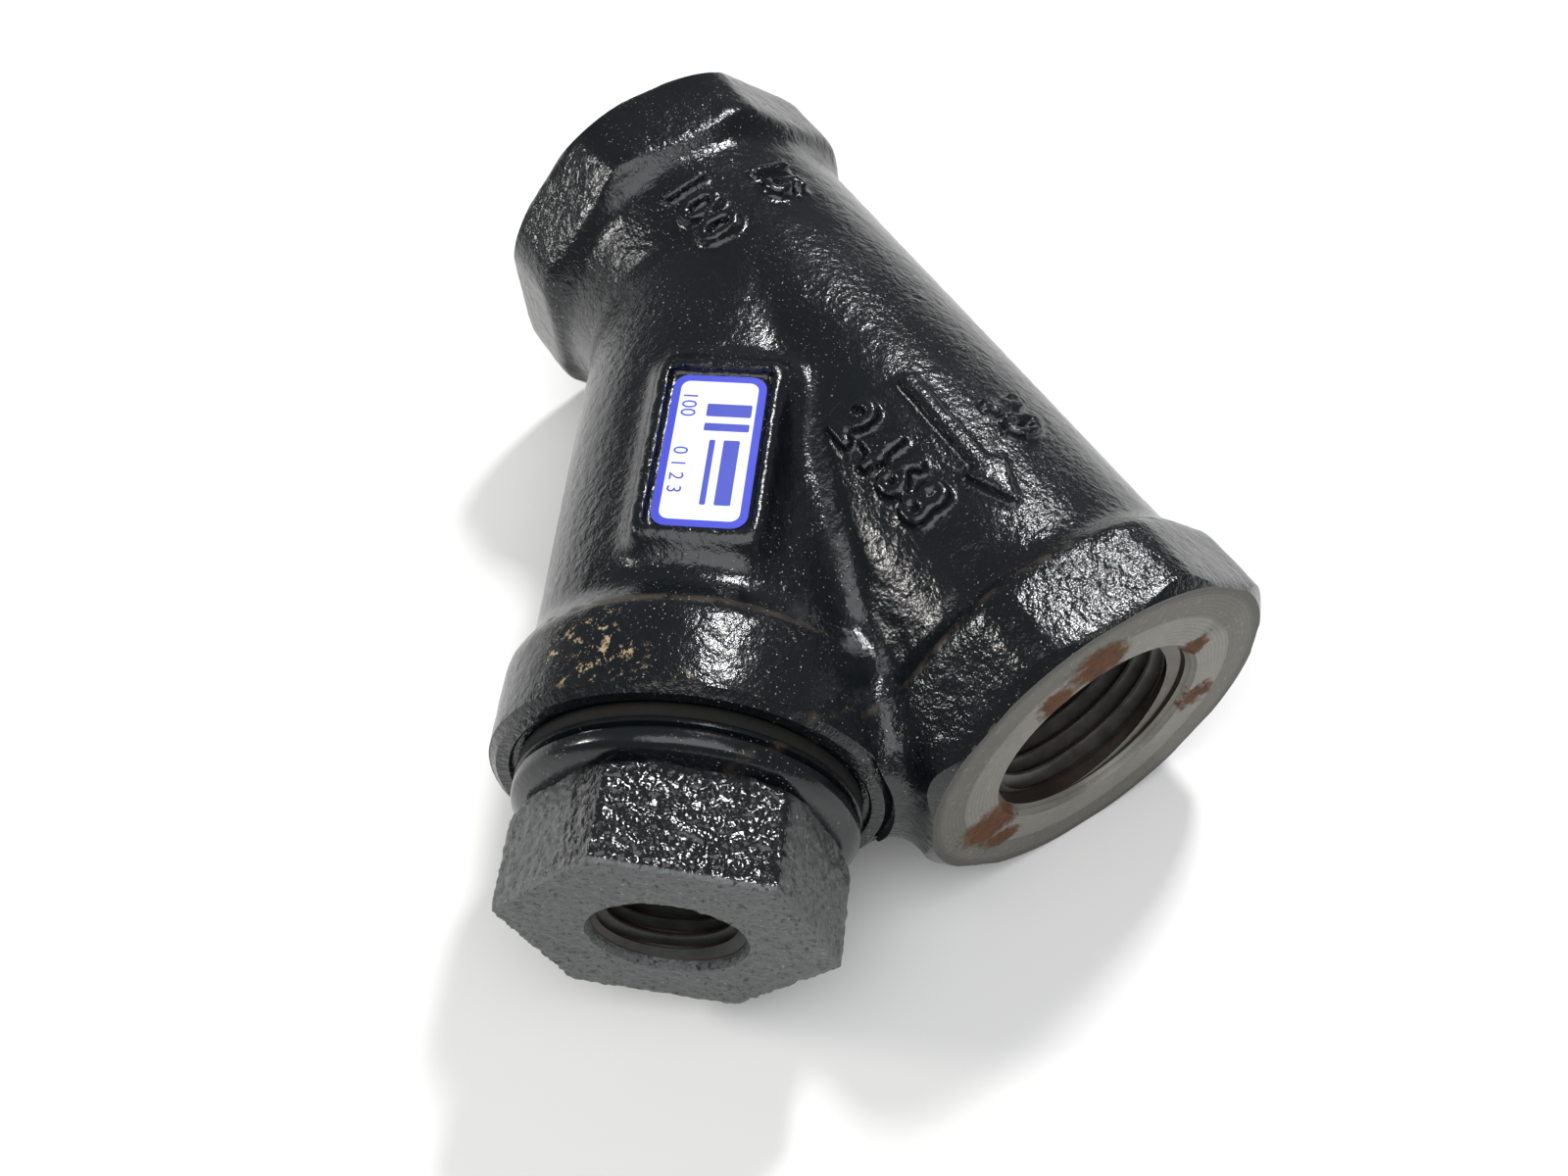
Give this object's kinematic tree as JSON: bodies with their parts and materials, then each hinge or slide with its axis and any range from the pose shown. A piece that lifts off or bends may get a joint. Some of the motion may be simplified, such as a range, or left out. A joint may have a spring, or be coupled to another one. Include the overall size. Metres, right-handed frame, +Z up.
{
  "type": "y strainer",
  "caption": "Screwed Y-pattern pipe strainer: cast body, slanted branch, wire screen and hexagon cap with a tapped blow-off port.",
  "frame": {"origin": "centre of the inlet face, on the run's axis", "axes": "+X along the run, the way the fluid flows; +Z up, square to the plane of the run and the branch; the branch leaves towards +X and -Y"},
  "size_m": [0.0861, 0.0741, 0.0374],
  "materials": {
    "enamel": "gloss black enamel over rough cast iron",
    "cap_enamel": "black enamel over coarse cast iron",
    "label": "printed film, satin",
    "gasket": "compressed fibre, matt",
    "screen_steel": "stainless wire, satin"
  },
  "bodies": {
    "strainer_body": {"body_casting": "enamel", "label_plate": "label"},
    "screen": {"screen_mesh": "screen_steel", "screen_seam_strip": "screen_steel", "screen_inner_band": "screen_steel", "screen_outer_band": "screen_steel"},
    "gasket": {"cap_gasket": "gasket"},
    "cap": {"hex_cap": "cap_enamel"}
  },
  "joints": [
    {"name": "screen_draw", "type": "slide", "parent": "strainer_body", "child": "screen", "axis": [0.7859, -0.6184, 0], "range_m": [0, 0.05]},
    {"name": "cap_travel", "type": "slide", "parent": "screen", "child": "gasket", "axis": [0.7859, -0.6184, 0], "range_m": [0, 0.01]},
    {"name": "cap_turn", "type": "hinge", "parent": "gasket", "child": "cap", "pos_m": [0.06622, -0.03519, 0], "axis": [0.7859, -0.6184, 0], "range_deg": [0, 1800]}
  ],
  "couplings": [
    {"joint": "cap_turn", "follows": "cap_travel", "rad_per_m": 3141.6}
  ]
}
